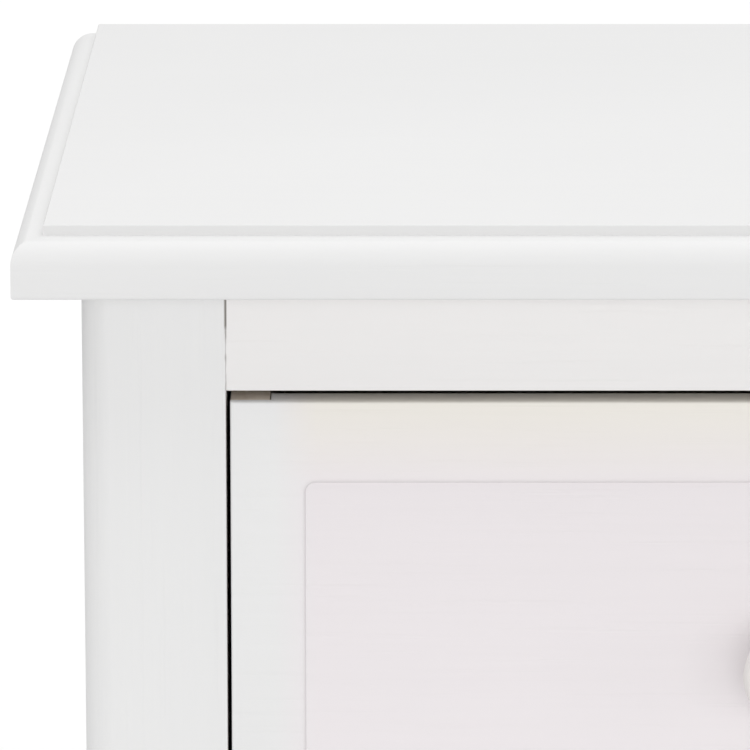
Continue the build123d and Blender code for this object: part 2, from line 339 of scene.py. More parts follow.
def makeJointCrack():
    # the hairline where paint has parted over a butt joint: open at the top, broken lower down
    group, enter, leave = newGroup(
        "jointCrack",
        [("Vector", "NodeSocketVector", None), ("Joint", "NodeSocketFloat", 0.3),
         ("Width", "NodeSocketFloat", 0.0003), ("Top", "NodeSocketFloat", 0.6),
         ("Reach", "NodeSocketFloat", 0.012), ("Foot", "NodeSocketFloat", 0.5),
         ("Depth", "NodeSocketFloat", 0.0)],
        [("Mask", "NodeSocketFloat")])
    parts = addNode(group, "ShaderNodeSeparateXYZ")
    group.links.new(enter.outputs["Vector"], parts.inputs[0])
    away = calc(group, "ABSOLUTE", calc(group, "SUBTRACT", calc(group, "ABSOLUTE", parts.outputs[0]),
                                        enter.outputs["Joint"]))
    line = calc(group, "SUBTRACT", 1.0, calc(group, "DIVIDE", away, enter.outputs["Width"]))
    line = addClamp(group, calc(group, "MULTIPLY", line, 2.5))
    below = calc(group, "DIVIDE", calc(group, "SUBTRACT", enter.outputs["Top"], parts.outputs[2]),
                 enter.outputs["Reach"])
    opened = addClamp(group, calc(group, "MULTIPLY", calc(group, "SUBTRACT", 1.15, below), 5.0))
    ragged = noise(group, stretched(group, enter.outputs["Vector"], (300, 300, 160)), 1.0, 2.0, 0.5)
    broken = remap(group, ragged, 0.46, 0.60, 0.0, 0.45)
    amount = calc(group, "MAXIMUM", opened, broken)
    atRail = calc(group, "GREATER_THAN", parts.outputs[2], enter.outputs["Foot"])
    atFront = calc(group, "LESS_THAN", parts.outputs[1], enter.outputs["Depth"])
    amount = calc(group, "MULTIPLY", amount, calc(group, "MULTIPLY", atRail, atFront))
    group.links.new(calc(group, "MULTIPLY", line, amount), leave.inputs["Mask"])
    return group


def addClamp(tree, value):
    node = addNode(tree, "ShaderNodeClamp")
    tree.links.new(value, node.inputs["Value"])
    return node.outputs[0]


tintEdges = {
    "fade": 12 * mm,
    # where the recess wall starts and ends, below the drawer's top edge
    "wallTop": (10 * mm, 15 * mm),
    "wallFoot": (132 * mm, 137 * mm),
}


def makeDrawerTint():
    # where a drawer front leans to rose, inside its stiles, and to cream, down from its top edge,
    # and where the recess wall is darkened as a painted shade
    group, enter, leave = newGroup(
        "drawerTint",
        [("Vector", "NodeSocketVector", None), ("Across", "NodeSocketFloat", 0.17),
         ("Half", "NodeSocketFloat", 0.15), ("Base", "NodeSocketFloat", 0.15),
         ("Pitch", "NodeSocketFloat", 0.17), ("Reach", "NodeSocketFloat", 0.02),
         ("Normal", "NodeSocketVector", None)],
        [("Rosy", "NodeSocketFloat"), ("Creamy", "NodeSocketFloat"), ("Wall", "NodeSocketFloat")])
    parts = addNode(group, "ShaderNodeSeparateXYZ")
    group.links.new(enter.outputs["Vector"], parts.inputs[0])
    aside = calc(group, "ABSOLUTE", calc(group, "SUBTRACT", calc(group, "ABSOLUTE", parts.outputs[0]),
                                         enter.outputs["Across"]))
    inside = calc(group, "DIVIDE", calc(group, "SUBTRACT", enter.outputs["Half"], aside), tintEdges["fade"])
    rosy = addClamp(group, inside)
    rise = calc(group, "MODULO", calc(group, "SUBTRACT", parts.outputs[2], enter.outputs["Base"]),
                enter.outputs["Pitch"])
    below = calc(group, "SUBTRACT", enter.outputs["Pitch"], rise)
    creamy = calc(group, "SUBTRACT", 1.0, calc(group, "DIVIDE", below, enter.outputs["Reach"]))
    creamy = calc(group, "MULTIPLY", addClamp(group, creamy), rosy)
    inner = calc(group, "MULTIPLY", remap(group, below, *tintEdges["wallTop"], 0.0, 1.0),
                 remap(group, below, *tintEdges["wallFoot"], 1.0, 0.0))
    facing = addNode(group, "ShaderNodeSeparateXYZ")
    group.links.new(enter.outputs["Normal"], facing.inputs[0])
    slope = remap(group, calc(group, "ABSOLUTE", facing.outputs[1]), 0.35, 0.97, 0.55, 0.0)
    wall = calc(group, "MULTIPLY", calc(group, "MULTIPLY", slope, inner), rosy)
    group.links.new(wall, leave.inputs["Wall"])
    group.links.new(rosy, leave.inputs["Rosy"])
    group.links.new(creamy, leave.inputs["Creamy"])
    return group


brushedPaint = makeBrushedPaint()
drawerTint = makeDrawerTint()
sawnWood = makeSawnWood()
jointCrack = makeJointCrack()

# how far each grain direction turns the pattern, so that its X runs along the grain
grainTurns = {"x": (0, 0, 0), "y": (0, 0, math.radians(90)), "z": (0, math.radians(90), 0)}


def startMaterial(name, grain, shift=(0, 0, 0)):
    material = bpy.data.materials.new(name)
    material.use_nodes = True
    tree = material.node_tree
    tree.nodes.clear()
    output = tree.nodes.new("ShaderNodeOutputMaterial")
    shader = tree.nodes.new("ShaderNodeBsdfPrincipled")
    tree.links.new(shader.outputs[0], output.inputs[0])
    place = tree.nodes.new("ShaderNodeTexCoord")
    mapping = tree.nodes.new("ShaderNodeMapping")
    mapping.inputs["Rotation"].default_value = grainTurns[grain]
    mapping.inputs["Location"].default_value = shift
    tree.links.new(place.outputs["Object"], mapping.inputs["Vector"])
    return material, tree, shader, mapping.outputs[0], place.outputs["Object"]


def useGroup(tree, group, vector, values):
    node = tree.nodes.new("ShaderNodeGroup")
    node.node_tree = group
    tree.links.new(vector, node.inputs["Vector"])
    for key, value in values.items():
        node.inputs[key].default_value = value
    return node


def addBump(tree, shader, height, distance, strength=1.0):
    bump = addNode(tree, "ShaderNodeBump", None, {"Strength": strength, "Distance": distance})
    tree.links.new(height, bump.inputs["Height"])
    tree.links.new(bump.outputs[0], shader.inputs["Normal"])


postLow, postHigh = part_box("front_left_post")

paintLook = {
    "white": (0.840, 0.839, 0.837, 1),
    # painted light: the rails' and drawer fronts' whites are the posts' white set lighter, a painted lift
    # standing in for light so they read as bright as the posts
    "railLitWhite": (0.892, 0.878, 0.871, 1),
    "drawerLitWhite": (0.862, 0.861, 0.859, 1),
    "rosy": (0.872, 0.829, 0.845, 1),
    "creamy": (0.890, 0.858, 0.792, 1),
    # painted shade for the moulding's riser
    "riserShade": (0.765, 0.763, 0.760, 1),
    # painted shade for the drawer's recess wall
    "wallShade": (0.70, 0.67, 0.68, 1),
    "knob": (0.88, 0.85, 0.83, 1),
    "crack": (0.42, 0.40, 0.38, 1),
    "sheen": 0.32,
    "topSheen": 0.14,
    "ior": 1.47,
    "riser": 3.0 * mm,
    "crackWidth": 0.45 * mm,
    "crackReach": 11.5 * mm,
    "crackDepth": 1.5 * mm,
    "bumpDepth": 0.10 * mm,
}


firstLow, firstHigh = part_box("lower_left_drawer_front")
aboveLow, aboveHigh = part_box("middle_left_drawer_front")
tintSizes = {
    "across": abs(firstLow.x + firstHigh.x) / 2,
    "half": (firstHigh.x - firstLow.x) / 2 - 12 * mm,
    # counted from drawer top to drawer top
    "base": firstHigh.z + 0.1 * mm - 3 * (aboveLow.z - firstLow.z),
    "pitch": aboveLow.z - firstLow.z,
    "reach": 24 * mm,
}


def paintMaterial(name, grain, color, brush=1.0, grainShow=1.0, cracked=False, tinting=False,
                  moulded=False):
    material, tree, shader, vector, place = startMaterial(name, grain)
    paint = useGroup(tree, brushedPaint, vector, {"Color": color, "Brush": brush, "Grain": grainShow})
    surface = paint.outputs["Color"]
    if tinting:
        tint = useGroup(tree, drawerTint, place, {
            "Across": tintSizes["across"], "Half": tintSizes["half"],
            "Base": tintSizes["base"], "Pitch": tintSizes["pitch"], "Reach": tintSizes["reach"]})
        rosy = tinted(tree, tint.outputs["Rosy"], color, paintLook["rosy"])
        creamy = tinted(tree, tint.outputs["Creamy"], rosy, paintLook["creamy"])
        facing = addNode(tree, "ShaderNodeTexCoord")
        tree.links.new(facing.outputs["Normal"], tint.inputs["Normal"])
        # painted shade: the recess wall is darkened toward wallShade
        shaded = tinted(tree, tint.outputs["Wall"], creamy, paintLook["wallShade"])
        tree.links.new(shaded, paint.inputs["Color"])
    if moulded:
        # painted shade: the small riser of the moulding is painted darker than the flats, standing in for
        # the shade in the step
        spot = addNode(tree, "ShaderNodeSeparateXYZ")
        tree.links.new(place, spot.inputs[0])
        facing = addNode(tree, "ShaderNodeSeparateXYZ")
        tree.links.new(addNode(tree, "ShaderNodeTexCoord").outputs["Normal"], facing.inputs[0])
        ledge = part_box("top_board")[1].z - paintLook["riser"]
        above = remap(tree, spot.outputs[2], ledge, ledge + 0.2 * mm, 0.0, 1.0)
        upright = remap(tree, facing.outputs[2], 0.3, 0.9, 1.0, 0.0)
        surface = tinted(tree, calc(tree, "MULTIPLY", above, upright), surface, paintLook["riserShade"])
    if cracked:
        crack = useGroup(tree, jointCrack, place, {
            "Joint": abs(postHigh.x), "Width": paintLook["crackWidth"],
            "Top": postHigh.z, "Reach": paintLook["crackReach"],
            "Foot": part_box("top_front_rail")[0].z, "Depth": postLow.y + paintLook["crackDepth"]})
        surface = tinted(tree, crack.outputs["Mask"], surface, paintLook["crack"])
    tree.links.new(surface, shader.inputs["Base Color"])
    tree.links.new(paint.outputs["Roughness"], shader.inputs["Roughness"])
    shader.inputs["Specular IOR Level"].default_value = paintLook["topSheen" if moulded else "sheen"]
    shader.inputs["IOR"].default_value = paintLook["ior"]
    addBump(tree, shader, paint.outputs["Height"], paintLook["bumpDepth"])
    return material


woodLook = {
    "pale": {"light": (0.80, 0.72, 0.63, 1), "dark": (0.60, 0.49, 0.38, 1), "rings": 46.0,
             "figure": 0.46, "bumpDepth": 0.12 * mm},
    "ply": {"light": (0.78, 0.69, 0.57, 1), "dark": (0.60, 0.49, 0.37, 1), "rings": 17.0,
            "figure": 0.30, "bumpDepth": 0.10 * mm},
}


def woodMaterial(name, grain, kind, shift=(0, 0, 0)):
    look = woodLook[kind]
    material, tree, shader, vector, place = startMaterial(name, grain, shift)
    wood = useGroup(tree, sawnWood, vector, {
        "Light": look["light"], "Dark": look["dark"], "Rings": look["rings"], "Figure": look["figure"]})
    tree.links.new(wood.outputs["Color"], shader.inputs["Base Color"])
    tree.links.new(wood.outputs["Roughness"], shader.inputs["Roughness"])
    shader.inputs["IOR"].default_value = 1.4
    addBump(tree, shader, wood.outputs["Height"], look["bumpDepth"])
    return material


fittingLook = {
    "zinc": {"light": (0.66, 0.67, 0.68, 1), "dark": (0.50, 0.50, 0.49, 1), "metal": 1.0,
             "speckle": (900.0, 4.0, 0.6), "rough": (0.24, 0.42), "bumpDepth": 0.03 * mm},
    "nylon": {"light": (0.66, 0.65, 0.61, 1), "dark": (0.58, 0.57, 0.53, 1), "metal": 0.0,
              "speckle": (400.0, 3.0, 0.5), "rough": (0.45, 0.6), "bumpDepth": 0.04 * mm},
}


def fittingMaterial(name, kind):
    # a speckled finish for the screws, tacks and glides
    look = fittingLook[kind]
    material, tree, shader, vector, place = startMaterial(name, "x")
    shader.inputs["Metallic"].default_value = look["metal"]
    speckle = noise(tree, vector, *look["speckle"])
    tree.links.new(tinted(tree, speckle, look["light"], look["dark"]), shader.inputs["Base Color"])
    tree.links.new(remap(tree, speckle, 0.3, 0.7, *look["rough"]), shader.inputs["Roughness"])
    addBump(tree, shader, speckle, look["bumpDepth"])
    return material


paintTop = paintMaterial("whitePaintTop", "x", paintLook["white"], 0.6, 0.6, moulded=True)
# the rails and drawer fronts take the lighter whites, a painted lift standing in for light
paintAcross = paintMaterial("whitePaintRails", "x", paintLook["railLitWhite"], cracked=True)
paintUpright = paintMaterial("whitePaintPosts", "z", paintLook["white"], cracked=True)
paintDrawer = paintMaterial("whitePaintDrawers", "x", paintLook["drawerLitWhite"], tinting=True)
knobPaint = paintMaterial("knobPaint", "y", paintLook["knob"], 0.5, 0.4)
paleAcross = woodMaterial("paleWoodAcross", "x", "pale", (0, 0.31, 0.17))
paleDeep = woodMaterial("paleWoodDeep", "y", "pale", (0, 0.43, 0.12))
paleUpright = woodMaterial("paleWoodUpright", "z", "pale", (0, 0.05, 0.22))
plyDeep = woodMaterial("plywoodDeep", "y", "ply", (0, 0.5, 0.06))
plyUpright = woodMaterial("plywoodUpright", "z", "ply", (0, 0.2, 0.5))
zinc = fittingMaterial("brightZinc", "zinc")
nylon = fittingMaterial("offWhiteNylon", "nylon")
print("materials made")


topSizes = {
    "band": 9.5 * mm,
    "round": 6.8 * mm,
    "roundSteps": 12,
    "ledge": 1.75 * mm,
    "step": 3.0 * mm,
    "fieldEase": 0.5 * mm,
    "lowerEase": 0.9 * mm,
    "sawSpare": 30 * mm,
}


def makeTopBoard():
    # moulded all round, then sawn square along the back
    size = topSizes
    low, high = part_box("top_board")
    ledgeHeight = low.z + size["band"] + size["round"]
    board = addBlock("topBoard", low, (high.x, high.y + size["sawSpare"], ledgeHeight))
    openMesh(board)
    pick(board, "EDGE", lambda e: edgeAt(e, 2, ledgeHeight))
    bpy.ops.mesh.bevel(offset=size["round"], segments=size["roundSteps"], profile=0.5, affect="EDGES")
    pick(board, "FACE", lambda f: f.normal.z > 0.99 and near(f.calc_center_median().z, ledgeHeight))
    bpy.ops.mesh.inset(thickness=size["ledge"])
    bpy.ops.mesh.extrude_region_move(TRANSFORM_OT_translate={"value": (0, 0, size["step"])})
    pick(board, "EDGE", lambda e: edgeAt(e, 2, high.z))
    bpy.ops.mesh.bevel(offset=size["fieldEase"], segments=3, profile=0.5, affect="EDGES")
    pick(board, "EDGE", lambda e: edgeAt(e, 2, low.z))
    bpy.ops.mesh.bevel(offset=size["lowerEase"], segments=4, profile=0.5, affect="EDGES")
    bpy.ops.mesh.select_all(action="SELECT")
    bpy.ops.mesh.bisect(plane_co=(0, high.y, 0), plane_no=(0, 1, 0), use_fill=True, clear_outer=True)
    closeMesh()
    smooth(board, 30)
    fit(board, "carcass", "white_paint", paintTop, "top_board")


makeTopBoard()
print("top board made")


postSizes = {
    "footWidth": 28 * mm,
    "taperTop": 92 * mm,
    "frontCorner": 8 * mm,
    "rearCorner": 2 * mm,
    "cornerSteps": 10,
    "innerEase": 0.35 * mm,
    "footEase": 1.5 * mm,
    "grooveGap": 0.3 * mm,
    # how far a cut runs on past the post
    "past": 2 * mm,
}


def makePost(node, name):
    size = postSizes
    low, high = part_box(node)
    side = 1 if low.x > 0 else -1
    isFront = low.y < 0
    outerX, innerX = (high.x, low.x) if side > 0 else (low.x, high.x)
    outerY, innerY = (low.y, high.y) if isFront else (high.y, low.y)
    taper = (high.x - low.x) - size["footWidth"]
    post = addBlock(name, low, high)
    openMesh(post)
    bpy.ops.mesh.select_all(action="SELECT")
    bpy.ops.mesh.bisect(plane_co=(0, 0, size["taperTop"]), plane_no=(0, 0, 1))
    pick(post, "VERT", lambda v: near(v.co.z, low.z) and near(v.co.x, innerX))
    bpy.ops.transform.translate(value=(side * taper, 0, 0))
    pick(post, "VERT", lambda v: near(v.co.z, low.z) and near(v.co.y, innerY))
    bpy.ops.transform.translate(value=(0, -taper if isFront else taper, 0))
    pick(post, "EDGE", lambda e: edgeAt(e, 0, outerX) and edgeAt(e, 1, outerY))
    corner = size["frontCorner"] if isFront else size["rearCorner"]
    bpy.ops.mesh.bevel(offset=corner, segments=size["cornerSteps"], profile=0.5, affect="EDGES")
    # the lower arris is broken so that it doesn't splinter on a floor
    pick(post, "EDGE", lambda e: edgeAt(e, 2, low.z))
    bpy.ops.mesh.bevel(offset=size["footEase"], segments=3, profile=0.5, affect="EDGES")
    closeMesh()
    easeEdges(post, size["innerEase"], 2, 50)
    # the groove for the side panel, and at the rear the rebate for the back
    panelLow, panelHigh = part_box("right_side_panel" if side > 0 else "left_side_panel")
    past = size["past"]
    bottom, top = panelLow.z, high.z + past
    endY = panelLow.y - size["grooveGap"] if isFront else panelHigh.y + size["grooveGap"]
    pastY = innerY + past if isFront else innerY - past
    carve(post, (panelLow.x, min(endY, pastY), bottom), (panelHigh.x, max(endY, pastY), top))
    if not isFront:
        backLow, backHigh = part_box("back_panel")
        endX = (backHigh.x if side > 0 else backLow.x) + side * size["grooveGap"]
        pastX = innerX - side * past
        carve(post, (min(endX, pastX), backLow.y, bottom), (max(endX, pastX), high.y + past, top))
    smooth(post, 30)
    fit(post, "carcass", "white_paint", paintUpright, node)


for postNode, postName in (("front_left_post", "postFrontLeft"), ("front_right_post", "postFrontRight"),
                           ("rear_left_post", "postRearLeft"), ("rear_right_post", "postRearRight")):
    makePost(postNode, postName)
print("posts made")


railSizes = {
    "tenon": 12 * mm,
    "shoulder": 4 * mm,
    "drawerRail": 20 * mm,
    "rearRail": 40 * mm,
    "ease": 0.35 * mm,
    "setBack": 0.25 * mm,
}


def makeRail(name, low, high, slot, material, node):
    # a board between two posts, with a stub tenon drawn out of each end
    size = railSizes
    tenon = Vector((size["tenon"], 0, 0))
    rail = addBlock(name, Vector(low) + tenon, Vector(high) - tenon)
    easeEdges(rail, size["ease"])
    openMesh(rail)
    for side in (-1, 1):
        pick(rail, "FACE", lambda f: f.normal.x * side > 0.99)
        bpy.ops.mesh.inset(thickness=size["shoulder"] - size["ease"])
        bpy.ops.mesh.extrude_region_move(TRANSFORM_OT_translate={"value": (side * size["tenon"], 0, 0)})
    closeMesh()
    smooth(rail)
    fit(rail, "carcass", slot, material, node)


def makeRails():
    # the front rails stand a hair behind the faces of the posts
    size = railSizes
    back = Vector((0, size["setBack"], 0))
    for node, name in (("bottom_front_rail", "railBottom"), ("top_front_rail", "railTop")):
        low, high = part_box(node)
        makeRail(name, low + back, high, "white_paint", paintAcross, node)
    # two nodes hold a lower and an upper rail each
    low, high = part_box("drawer_rails")
    low += back
    height = size["drawerRail"]
    makeRail("railLowerDrawers", low, (high.x, high.y, low.z + height), "white_paint", paintAcross,
             "drawer_rails")
    makeRail("railUpperDrawers", (low.x, low.y, high.z - height), high, "white_paint", paintAcross,
             "drawer_rails")
    low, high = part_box("rear_rails")
    height = size["rearRail"]
    makeRail("railRearLower", low, (high.x, high.y, low.z + height), "bare_wood", paleAcross, "rear_rails")
    makeRail("railRearUpper", (low.x, low.y, high.z - height), high, "bare_wood", paleAcross, "rear_rails")


makeRails()
print("rails made")


muntinSizes = {
    "ease": 0.35 * mm,
    "rail": 20 * mm,
}


def makeMuntins():
    size = muntinSizes
    low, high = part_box("centre_muntins")
    height = (high.z - low.z - (len(rowNames) - 1) * size["rail"]) / len(rowNames)
    first = addBlock("muntinLower", low, (high.x, high.y, low.z + height))
    easeEdges(first, size["ease"])
    smooth(first)
    for row, name in enumerate(["muntinLower", "muntinMiddle", "muntinUpper"]):
        muntin = first if row == 0 else copyTo(first, name, (0, 0, row * (height + size["rail"])))
        fit(muntin, "carcass", "white_paint", paintUpright, "centre_muntins")


makeMuntins()


panelSizes = {
    "sideEase": 0.4 * mm,
    "backEase": 0.25 * mm,
    "innerEase": 0.6 * mm,
}


def makePanels():
    for node, name in (("left_side_panel", "sidePanelLeft"), ("right_side_panel", "sidePanelRight")):
        panel = addBlock(name, *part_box(node))
        easeEdges(panel, panelSizes["sideEase"])
        smooth(panel)
        fit(panel, "carcass", "white_paint", paintUpright, node)
    back = addBlock("backPanel", *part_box("back_panel"))
    easeEdges(back, panelSizes["backEase"])
    smooth(back)
    fit(back, "carcass", "plywood", plyUpright, "back_panel")


makePanels()
print("muntins and panels made")


def makeInnerWork():
    # the divider, bearers, kickers and guides behind the face frame
    for node, name, material in (("centre_divider", "divider", paleUpright),
                                 ("drawer_runners", "bearersAndKickers", paleDeep),
                                 ("drawer_guides", "guides", paleDeep)):
        boards = traced(node, name)
        easeEdges(boards, panelSizes["innerEase"])
        smooth(boards)
        fit(boards, "carcass", "bare_wood", material, node)


makeInnerWork()
print("inner work made")


frontSizes = {
    "lap": 3.0 * mm,
    "rebate": 11.3 * mm,
    "grooveRise": 8.0 * mm,
    "grooveSlot": 5.4 * mm,
    "grooveDepth": 6.0 * mm,
    "ease": 0.6 * mm,
    "stile": 18.9 * mm,
    "railEdge": 21.3 * mm,
    "corner": 4.6 * mm,
    "cornerSteps": 8,
    # how near a point must be to belong to the recess outline, and a face to the panel's middle
    "outlineSlack": 0.1 * mm,
    "middleSlack": 1 * mm,
    # a face nearer the drawer front's middle than this is the panel itself
    "panelReach": 20 * mm,
    # each step of the recess wall: how far in, and how far back
    "wall": [(0.45, 0.04), (0.40, 0.10), (0.34, 0.16), (0.26, 0.22), (0.18, 0.28), (0.12, 0.32),
             (0.09, 0.32), (0.08, 0.22), (0.10, 0.10), (0.14, 0.04)],
}


def makeDrawerFront(node, name):
    size = frontSizes
    low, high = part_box(node)
    middle = (low + high) / 2
    reach = (high.x - low.x) / 2 - size["rebate"]
    front = addBlock(name, low, (high.x, low.y + size["lap"], high.z))
    openMesh(front)
    # the thick middle stands on the back of the lap, with a groove for the bottom left in it
    for side in (-1, 1):
        pick(front, "FACE", lambda f: f.normal.y > 0.99)
        bpy.ops.mesh.bisect(plane_co=(middle.x + side * reach, 0, 0), plane_no=(1, 0, 0))
    pick(front, "FACE", lambda f: f.normal.y > 0.99 and abs(f.calc_center_median().x - middle.x) < reach)
    bpy.ops.mesh.extrude_region_move(TRANSFORM_OT_translate={
        "value": (0, high.y - low.y - size["lap"] - size["grooveDepth"], 0)})
    for height in (size["grooveRise"], size["grooveRise"] + size["grooveSlot"]):
        pick(front, "FACE", lambda f: f.normal.y > 0.99
             and abs(f.calc_center_median().x - middle.x) < reach)
        bpy.ops.mesh.bisect(plane_co=(0, 0, low.z + height), plane_no=(0, 0, 1))
    grooveMiddle = low.z + size["grooveRise"] + size["grooveSlot"] / 2
    pick(front, "FACE", lambda f: f.normal.y > 0.99
         and abs(f.calc_center_median().x - middle.x) < reach
         and not near(f.calc_center_median().z, grooveMiddle, size["grooveSlot"] / 2))
    bpy.ops.mesh.extrude_region_move(TRANSFORM_OT_translate={"value": (0, size["grooveDepth"], 0)})
    # the show face: eased all round, then a sunk panel with rounded corners
    pick(front, "EDGE", lambda e: edgeAt(e, 1, low.y))
    bpy.ops.mesh.bevel(offset=size["ease"], segments=3, profile=0.5, affect="EDGES")
    pick(front, "FACE", lambda f: f.normal.y < -0.99)
    bpy.ops.mesh.inset(thickness=size["stile"] - size["ease"])
    squeeze = size["railEdge"] - size["stile"]
    inside = (high.x - low.x) / 2 - size["stile"] + size["outlineSlack"]
    for side in (-1, 1):
        pick(front, "VERT", lambda v: near(v.co.y, low.y) and abs(v.co.x - middle.x) < inside
             and (v.co.z - middle.z) * side > 0)
        bpy.ops.transform.translate(value=(0, 0, -side * squeeze))
    pick(front, "FACE", lambda f: f.normal.y < -0.99
         and (f.calc_center_median() - middle).length > size["panelReach"])
    bpy.ops.mesh.delete(type="ONLY_FACE")
    pick(front, "VERT", lambda v: near(v.co.y, low.y) and abs(v.co.x - middle.x) < inside)
    bpy.ops.mesh.bevel(offset=size["corner"], segments=size["cornerSteps"], profile=0.5, affect="VERTICES")
    pick(front, "EDGE", lambda e: edgeAt(e, 1, low.y) and len(e.link_faces) == 1)
    bpy.ops.mesh.bridge_edge_loops()
    pick(front, "FACE", lambda f: f.normal.y < -0.99
         and near(f.calc_center_median().x, middle.x, size["middleSlack"])
         and near(f.calc_center_median().z, middle.z, size["middleSlack"]))
    for inward, deeper in size["wall"]:
        bpy.ops.mesh.inset(thickness=inward * mm)
        bpy.ops.transform.translate(value=(0, deeper * mm, 0))
    closeMesh()
    smooth(front, 32)
    return front


knobSizes = {
    "sides": 64,
    # the turned outline as curves from foot to waist, brim and crown: each has its start, its two
    # handles, its end and its steps, as (radius, height)
    "outline": [((8.5, 0.0), (7.9, 2.5), (6.5, 5.0), (6.5, 8.5), 7),
                ((6.5, 8.5), (6.5, 17.0), (15.0, 17.0), (15.0, 22.0), 16),
                ((15.0, 22.0), (15.0, 27.2), (10.5, 30.0), (0.0, 30.0), 16)],
}


def makeKnob(node, name):
    # turned from a disc, one cut at a time from the foot to the crown
    size = knobSizes
    low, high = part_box(node)
    middle = (low + high) / 2
    stations = []
    for start, startHandle, endHandle, end, steps in size["outline"]:
        stations += interpolate_bezier(start, startHandle, endHandle, end, steps)[1 if stations else 0:]
    radius, height = stations[0]
    bpy.ops.object.select_all(action="DESELECT")
    bpy.ops.mesh.primitive_circle_add(vertices=size["sides"], radius=radius * mm, fill_type="NGON",
                                      location=(middle.x, high.y, middle.z),
                                      rotation=(math.radians(90), 0, 0))
    knob = bpy.context.object
    knob.name = name
    knob.data.name = name
    bpy.ops.object.transform_apply(location=True, rotation=True, scale=True)
    openMesh(knob)
    bpy.ops.mesh.select_all(action="SELECT")
    for nextRadius, nextHeight in stations[1:-1]:
        cut = (0, (height - nextHeight) * mm, 0)
        bpy.ops.mesh.extrude_region_move(TRANSFORM_OT_translate={"value": cut})
        ratio = nextRadius / radius
        bpy.ops.transform.resize(value=(ratio, 1, ratio), center_override=(middle.x, 0, middle.z))
        radius, height = nextRadius, nextHeight
    bpy.ops.mesh.select_all(action="SELECT")
    bpy.ops.mesh.remove_doubles(threshold=0.000005)
    bpy.ops.mesh.normals_make_consistent(inside=False)
    closeMesh()
    smooth(knob, 60)
    return knob


boardSizes = {
    "ease": 0.5 * mm,
    "sideEase": 0.25 * mm,
    "sideTopEase": 0.35 * mm,
    "bottomEase": 0.2 * mm,
}


def makeDrawerSide(node, name):
    # only the long top and bottom edges are eased: the groove and the housing stay crisp
    board = traced(node, name)
    low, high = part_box(node)
    openMesh(board)
    pick(board, "EDGE", lambda e: edgeAt(e, 2, high.z) and runsAlong(e, 1))
    bpy.ops.mesh.bevel(offset=boardSizes["sideTopEase"], segments=4, profile=0.5, affect="EDGES")
    pick(board, "EDGE", lambda e: edgeAt(e, 2, low.z) and runsAlong(e, 1))
    bpy.ops.mesh.bevel(offset=boardSizes["sideEase"], segments=3, profile=0.5, affect="EDGES")
    closeMesh()
    smooth(board)
    return board


def makeDrawerBoard(node, name, ease):
    board = traced(node, name)
    easeEdges(board, ease, 2)
    smooth(board)
    return board


screwSizes = {
    "sides": 40,
    "shank": 2.0 * mm,
    "headHeight": 2.5 * mm,
    "headRound": 1.2 * mm,
    "crossHalf": 0.45 * mm,
    "crossReach": 2.1 * mm,
    "crossDepth": 1.4 * mm,
    "crossTaper": 0.7,
    "tip": 1.5 * mm,
    "tipTaper": 0.3,
}


def makeKnobScrew(node, name):
    # a pan head with a cross recess, seen inside the drawer, and its shank
    size = screwSizes
    low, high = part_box(node)
    middle = (low + high) / 2
    radius = (high.x - low.x) / 2
    screw = addDisc(name, size["sides"], radius, size["headHeight"],
                    (middle.x, high.y - size["headHeight"] / 2, middle.z), (math.radians(90), 0, 0))
    openMesh(screw)
    pick(screw, "FACE", lambda f: f.normal.y < -0.99)
    bpy.ops.mesh.inset(thickness=radius - size["shank"])
    length = high.y - low.y - size["headHeight"]
    bpy.ops.mesh.extrude_region_move(TRANSFORM_OT_translate={"value": (0, size["tip"] - length, 0)})
    bpy.ops.mesh.extrude_region_move(TRANSFORM_OT_translate={"value": (0, -size["tip"], 0)})
    bpy.ops.transform.resize(value=(size["tipTaper"], 1, size["tipTaper"]), center_override=tuple(middle))
    pick(screw, "EDGE", lambda e: edgeAt(e, 1, high.y))
    bpy.ops.mesh.bevel(offset=size["headRound"], segments=5, profile=0.5, affect="EDGES")
    for axis, center in ((0, middle.x), (2, middle.z)):
        for place in (-size["crossReach"], -size["crossHalf"], size["crossHalf"], size["crossReach"]):
            normal = [0, 0, 0]
            normal[axis] = 1
            point = [0, 0, 0]
            point[axis] = center + place
            pick(screw, "FACE", lambda f: f.normal.y > 0.99 and near(f.calc_center_median().y, high.y))
            bpy.ops.mesh.bisect(plane_co=point, plane_no=normal)

    def inCross(face):
        center = face.calc_center_median()
        aside, above = abs(center.x - middle.x), abs(center.z - middle.z)
        return (face.normal.y > 0.99 and near(center.y, high.y)
                and max(aside, above) < size["crossReach"] and min(aside, above) < size["crossHalf"])

    pick(screw, "FACE", inCross)
    bpy.ops.mesh.extrude_region_move(TRANSFORM_OT_translate={"value": (0, -size["crossDepth"], 0)})
    bpy.ops.transform.resize(value=(size["crossTaper"], 1, size["crossTaper"]),
                             center_override=tuple(middle))
    closeMesh()
    smooth(screw, 35)
    return screw


# each part of a drawer: its maker, its record slot and its material
drawerParts = [
    ("front", "Front", makeDrawerFront, "white_paint", paintDrawer),
    ("left_side", "SideLeft", makeDrawerSide, "bare_wood", paleDeep),
    ("right_side", "SideRight", makeDrawerSide, "bare_wood", paleDeep),
    ("back", "Back", lambda node, name: makeDrawerBoard(node, name, boardSizes["ease"]), "bare_wood",
     paleAcross),
    ("bottom", "Bottom", lambda node, name: makeDrawerBoard(node, name, boardSizes["bottomEase"]),
     "plywood", plyDeep),
    ("knob", "Knob", makeKnob, "knob_paint", knobPaint),
    ("knob_screw", "KnobScrew", makeKnobScrew, "zinc_steel", zinc),
]


